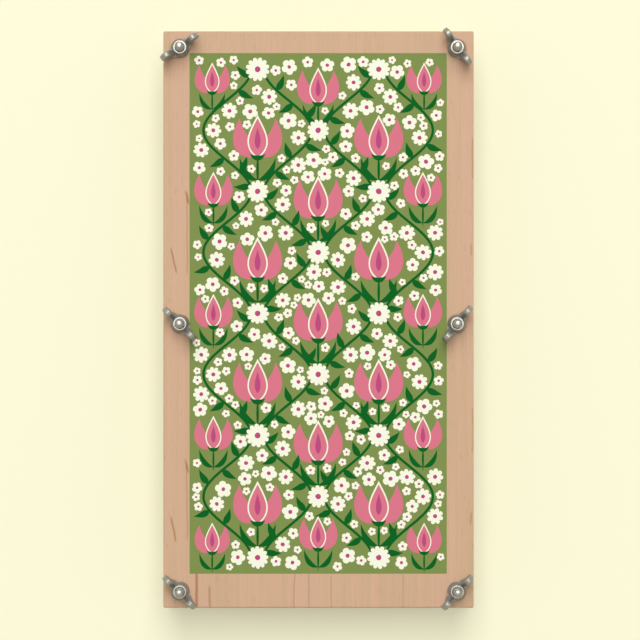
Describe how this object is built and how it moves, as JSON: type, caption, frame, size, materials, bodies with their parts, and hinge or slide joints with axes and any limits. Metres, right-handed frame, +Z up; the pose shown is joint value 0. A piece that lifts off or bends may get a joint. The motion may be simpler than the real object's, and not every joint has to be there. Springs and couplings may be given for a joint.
{
  "type": "flower press",
  "caption": "Flower press: wooden boards drawn together over layers of corrugated card and blotting paper by bolts and wing nuts, with a printed panel on the upper board.",
  "frame": {"origin": "middle of the lower board's underside, on the surface that the press lies on", "axes": "+Z up through the stack, the way the bolts point; +X across the press to the right and +Y along it to the back, as seen from above with the print upright"},
  "size_m": [0.1834, 0.3398, 0.0553],
  "materials": {
    "board_wood": "sanded, clear matt",
    "plated_steel": "zinc plated",
    "kraft_card": "plain kraft",
    "blotting_paper": "soft, unsized"
  },
  "bodies": {
    "base": {"lower_board": "board_wood", "bolts": "plated_steel"},
    "upper_board": {"upper_board": "board_wood"},
    "washer_back_left": {"washer_back_left": "plated_steel"},
    "wing_nut_back_left": {"wing_nut_back_left": "plated_steel"},
    "washer_back_right": {"washer_back_right": "plated_steel"},
    "wing_nut_back_right": {"wing_nut_back_right": "plated_steel"},
    "washer_middle_left": {"washer_middle_left": "plated_steel"},
    "wing_nut_middle_left": {"wing_nut_middle_left": "plated_steel"},
    "washer_middle_right": {"washer_middle_right": "plated_steel"},
    "wing_nut_middle_right": {"wing_nut_middle_right": "plated_steel"},
    "washer_front_left": {"washer_front_left": "plated_steel"},
    "wing_nut_front_left": {"wing_nut_front_left": "plated_steel"},
    "washer_front_right": {"washer_front_right": "plated_steel"},
    "wing_nut_front_right": {"wing_nut_front_right": "plated_steel"},
    "corrugated_card_1": {"corrugated_card_1": "kraft_card"},
    "blotting_paper_1": {"blotting_paper_1": "blotting_paper"},
    "blotting_paper_2": {"blotting_paper_2": "blotting_paper"},
    "corrugated_card_2": {"corrugated_card_2": "kraft_card"},
    "blotting_paper_3": {"blotting_paper_3": "blotting_paper"},
    "blotting_paper_4": {"blotting_paper_4": "blotting_paper"},
    "corrugated_card_3": {"corrugated_card_3": "kraft_card"},
    "blotting_paper_5": {"blotting_paper_5": "blotting_paper"},
    "blotting_paper_6": {"blotting_paper_6": "blotting_paper"},
    "corrugated_card_4": {"corrugated_card_4": "kraft_card"},
    "blotting_paper_7": {"blotting_paper_7": "blotting_paper"},
    "blotting_paper_8": {"blotting_paper_8": "blotting_paper"},
    "corrugated_card_5": {"corrugated_card_5": "kraft_card"},
    "blotting_paper_9": {"blotting_paper_9": "blotting_paper"},
    "blotting_paper_10": {"blotting_paper_10": "blotting_paper"},
    "corrugated_card_6": {"corrugated_card_6": "kraft_card"}
  },
  "joints": [
    {"name": "upper_board_lift", "type": "slide", "parent": "base", "child": "upper_board", "axis": [0, 0, 1], "range_m": [0, 0.051]},
    {"name": "wing_nut_back_left_turn", "type": "hinge", "parent": "upper_board", "child": "washer_back_left", "pos_m": [-0.081, 0.159, 0.0395], "axis": [0, 0, 1], "range_deg": [0, 6480]},
    {"name": "wing_nut_back_left_climb", "type": "slide", "parent": "washer_back_left", "child": "wing_nut_back_left", "axis": [0, 0, 1], "range_m": [0, 0.0148]},
    {"name": "wing_nut_back_right_turn", "type": "hinge", "parent": "upper_board", "child": "washer_back_right", "pos_m": [0.081, 0.159, 0.0395], "axis": [0, 0, 1], "range_deg": [0, 6480]},
    {"name": "wing_nut_back_right_climb", "type": "slide", "parent": "washer_back_right", "child": "wing_nut_back_right", "axis": [0, 0, 1], "range_m": [0, 0.0148]},
    {"name": "wing_nut_middle_left_turn", "type": "hinge", "parent": "upper_board", "child": "washer_middle_left", "pos_m": [-0.081, -0.0025, 0.0395], "axis": [0, 0, 1], "range_deg": [0, 6480]},
    {"name": "wing_nut_middle_left_climb", "type": "slide", "parent": "washer_middle_left", "child": "wing_nut_middle_left", "axis": [0, 0, 1], "range_m": [0, 0.0148]},
    {"name": "wing_nut_middle_right_turn", "type": "hinge", "parent": "upper_board", "child": "washer_middle_right", "pos_m": [0.081, -0.0025, 0.0395], "axis": [0, 0, 1], "range_deg": [0, 6480]},
    {"name": "wing_nut_middle_right_climb", "type": "slide", "parent": "washer_middle_right", "child": "wing_nut_middle_right", "axis": [0, 0, 1], "range_m": [0, 0.0148]},
    {"name": "wing_nut_front_left_turn", "type": "hinge", "parent": "upper_board", "child": "washer_front_left", "pos_m": [-0.081, -0.159, 0.0395], "axis": [0, 0, 1], "range_deg": [0, 6480]},
    {"name": "wing_nut_front_left_climb", "type": "slide", "parent": "washer_front_left", "child": "wing_nut_front_left", "axis": [0, 0, 1], "range_m": [0, 0.0148]},
    {"name": "wing_nut_front_right_turn", "type": "hinge", "parent": "upper_board", "child": "washer_front_right", "pos_m": [0.081, -0.159, 0.0395], "axis": [0, 0, 1], "range_deg": [0, 6480]},
    {"name": "wing_nut_front_right_climb", "type": "slide", "parent": "washer_front_right", "child": "wing_nut_front_right", "axis": [0, 0, 1], "range_m": [0, 0.0148]},
    {"name": "corrugated_card_1_lift", "type": "slide", "parent": "base", "child": "corrugated_card_1", "axis": [0, 0, 1], "range_m": [0, 0.0031]},
    {"name": "blotting_paper_1_lift", "type": "slide", "parent": "base", "child": "blotting_paper_1", "axis": [0, 0, 1], "range_m": [0, 0.0061]},
    {"name": "blotting_paper_2_lift", "type": "slide", "parent": "base", "child": "blotting_paper_2", "axis": [0, 0, 1], "range_m": [0, 0.0091]},
    {"name": "corrugated_card_2_lift", "type": "slide", "parent": "base", "child": "corrugated_card_2", "axis": [0, 0, 1], "range_m": [0, 0.0121]},
    {"name": "blotting_paper_3_lift", "type": "slide", "parent": "base", "child": "blotting_paper_3", "axis": [0, 0, 1], "range_m": [0, 0.0151]},
    {"name": "blotting_paper_4_lift", "type": "slide", "parent": "base", "child": "blotting_paper_4", "axis": [0, 0, 1], "range_m": [0, 0.0181]},
    {"name": "corrugated_card_3_lift", "type": "slide", "parent": "base", "child": "corrugated_card_3", "axis": [0, 0, 1], "range_m": [0, 0.0211]},
    {"name": "blotting_paper_5_lift", "type": "slide", "parent": "base", "child": "blotting_paper_5", "axis": [0, 0, 1], "range_m": [0, 0.0241]},
    {"name": "blotting_paper_6_lift", "type": "slide", "parent": "base", "child": "blotting_paper_6", "axis": [0, 0, 1], "range_m": [0, 0.0271]},
    {"name": "corrugated_card_4_lift", "type": "slide", "parent": "base", "child": "corrugated_card_4", "axis": [0, 0, 1], "range_m": [0, 0.0301]},
    {"name": "blotting_paper_7_lift", "type": "slide", "parent": "base", "child": "blotting_paper_7", "axis": [0, 0, 1], "range_m": [0, 0.0331]},
    {"name": "blotting_paper_8_lift", "type": "slide", "parent": "base", "child": "blotting_paper_8", "axis": [0, 0, 1], "range_m": [0, 0.0361]},
    {"name": "corrugated_card_5_lift", "type": "slide", "parent": "base", "child": "corrugated_card_5", "axis": [0, 0, 1], "range_m": [0, 0.0391]},
    {"name": "blotting_paper_9_lift", "type": "slide", "parent": "base", "child": "blotting_paper_9", "axis": [0, 0, 1], "range_m": [0, 0.0421]},
    {"name": "blotting_paper_10_lift", "type": "slide", "parent": "base", "child": "blotting_paper_10", "axis": [0, 0, 1], "range_m": [0, 0.0451]},
    {"name": "corrugated_card_6_lift", "type": "slide", "parent": "base", "child": "corrugated_card_6", "axis": [0, 0, 1], "range_m": [0, 0.0481]}
  ],
  "couplings": [
    {"joint": "wing_nut_back_left_climb", "follows": "wing_nut_back_left_turn", "m_per_rad": 0.00012732},
    {"joint": "wing_nut_back_right_climb", "follows": "wing_nut_back_right_turn", "m_per_rad": 0.00012732},
    {"joint": "wing_nut_middle_left_climb", "follows": "wing_nut_middle_left_turn", "m_per_rad": 0.00012732},
    {"joint": "wing_nut_middle_right_climb", "follows": "wing_nut_middle_right_turn", "m_per_rad": 0.00012732},
    {"joint": "wing_nut_front_left_climb", "follows": "wing_nut_front_left_turn", "m_per_rad": 0.00012732},
    {"joint": "wing_nut_front_right_climb", "follows": "wing_nut_front_right_turn", "m_per_rad": 0.00012732},
    {"joint": "corrugated_card_1_lift", "follows": "upper_board_lift", "ratio": 0.058824},
    {"joint": "blotting_paper_1_lift", "follows": "upper_board_lift", "ratio": 0.11765},
    {"joint": "blotting_paper_2_lift", "follows": "upper_board_lift", "ratio": 0.17647},
    {"joint": "corrugated_card_2_lift", "follows": "upper_board_lift", "ratio": 0.23529},
    {"joint": "blotting_paper_3_lift", "follows": "upper_board_lift", "ratio": 0.29412},
    {"joint": "blotting_paper_4_lift", "follows": "upper_board_lift", "ratio": 0.35294},
    {"joint": "corrugated_card_3_lift", "follows": "upper_board_lift", "ratio": 0.41176},
    {"joint": "blotting_paper_5_lift", "follows": "upper_board_lift", "ratio": 0.47059},
    {"joint": "blotting_paper_6_lift", "follows": "upper_board_lift", "ratio": 0.52941},
    {"joint": "corrugated_card_4_lift", "follows": "upper_board_lift", "ratio": 0.58824},
    {"joint": "blotting_paper_7_lift", "follows": "upper_board_lift", "ratio": 0.64706},
    {"joint": "blotting_paper_8_lift", "follows": "upper_board_lift", "ratio": 0.70588},
    {"joint": "corrugated_card_5_lift", "follows": "upper_board_lift", "ratio": 0.76471},
    {"joint": "blotting_paper_9_lift", "follows": "upper_board_lift", "ratio": 0.82353},
    {"joint": "blotting_paper_10_lift", "follows": "upper_board_lift", "ratio": 0.88235},
    {"joint": "corrugated_card_6_lift", "follows": "upper_board_lift", "ratio": 0.94118}
  ]
}
